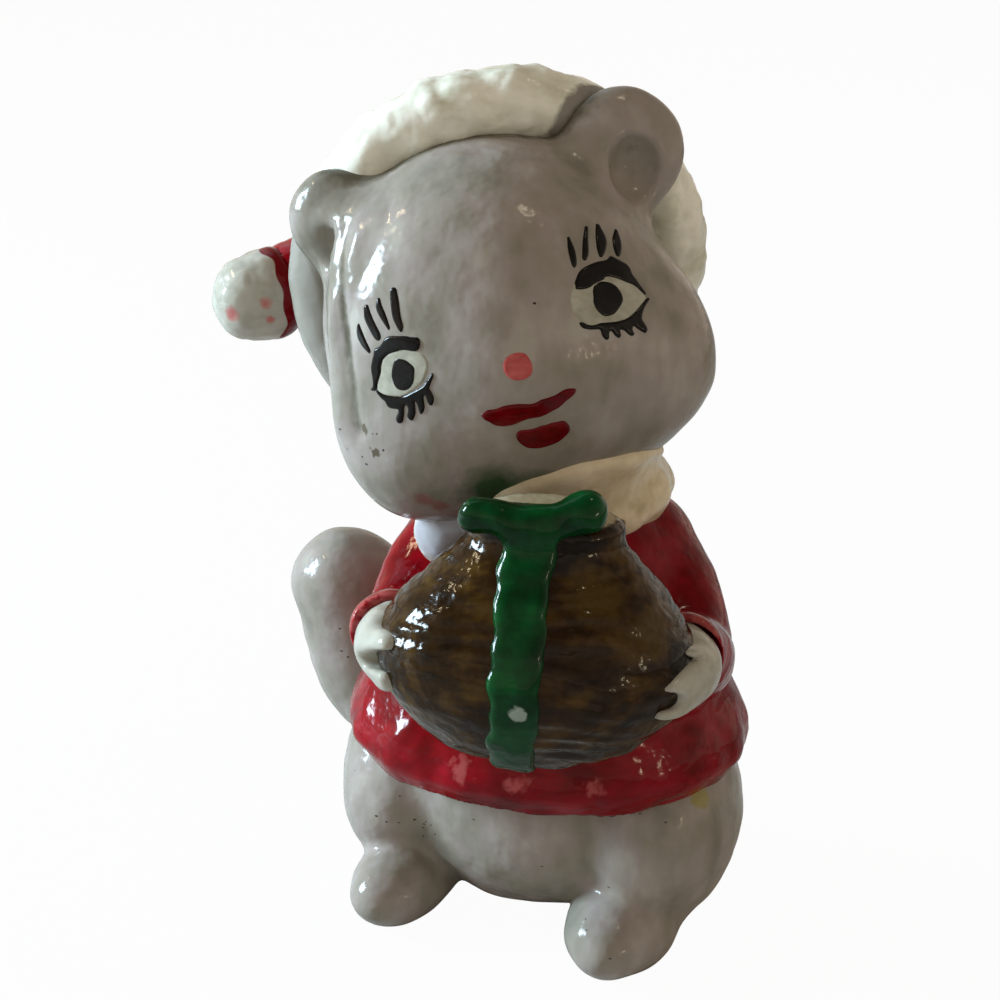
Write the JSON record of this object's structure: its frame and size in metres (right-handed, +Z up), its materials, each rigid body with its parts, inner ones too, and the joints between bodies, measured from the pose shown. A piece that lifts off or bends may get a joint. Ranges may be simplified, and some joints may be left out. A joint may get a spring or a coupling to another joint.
{
  "type": "mouse figurine",
  "caption": "Glazed ceramic mouse, seated upright in a red jacket and a drooping fur-trimmed hat, holding a nut-shaped gift tied with green ribbon.",
  "frame": {"origin": "on the ground, in the flat foot under the rump, in front of the pour hole", "axes": "+Z up, the mouse's chest looks along -Y and its left side is at +X"},
  "size_m": [0.0648, 0.0646, 0.0982],
  "materials": {
    "grey_glaze": "grey glaze, clear and glossy, with faint brushing",
    "white_glaze": "off-white glaze over tooled lumps, glossy",
    "red_glaze": "red paint under a glossy glaze",
    "green_glaze": "green paint under a glossy glaze",
    "brown_glaze": "brown glaze with dark brush streaks",
    "white_enamel": "white enamel",
    "black_enamel": "brushed black enamel",
    "pink_enamel": "pink enamel",
    "lip_enamel": "crimson enamel"
  },
  "bodies": {
    "root": {"seat_casting": "grey_glaze", "haunch_right": "grey_glaze", "haunch_left": "grey_glaze", "foot_right": "grey_glaze", "foot_left": "grey_glaze", "tail": "grey_glaze", "head": "grey_glaze", "ear_right": "grey_glaze", "ear_left": "grey_glaze", "collar": "white_glaze", "paw_right": "white_glaze", "paw_left": "white_glaze", "hat_brim": "white_glaze", "hat_tip": "white_glaze", "jacket": "red_glaze", "sleeve_right": "red_glaze", "sleeve_left": "red_glaze", "hat_crown": "red_glaze", "ribbon_band": "green_glaze", "bow_right": "green_glaze", "bow_left": "green_glaze", "gift": "brown_glaze", "eye_white_right": "white_enamel", "eye_white_left": "white_enamel", "iris_right": "black_enamel", "upper_lid_right": "black_enamel", "lower_lid_right": "black_enamel", "iris_left": "black_enamel", "upper_lid_left": "black_enamel", "lower_lid_left": "black_enamel", "lash_right_1": "black_enamel", "lash_right_2": "black_enamel", "lash_right_3": "black_enamel", "lash_right_4": "black_enamel", "lash_left_1": "black_enamel", "lash_left_2": "black_enamel", "lash_left_3": "black_enamel", "lash_left_4": "black_enamel", "nose": "pink_enamel", "upper_lip": "lip_enamel", "lower_lip": "lip_enamel"}
  },
  "joints": []
}
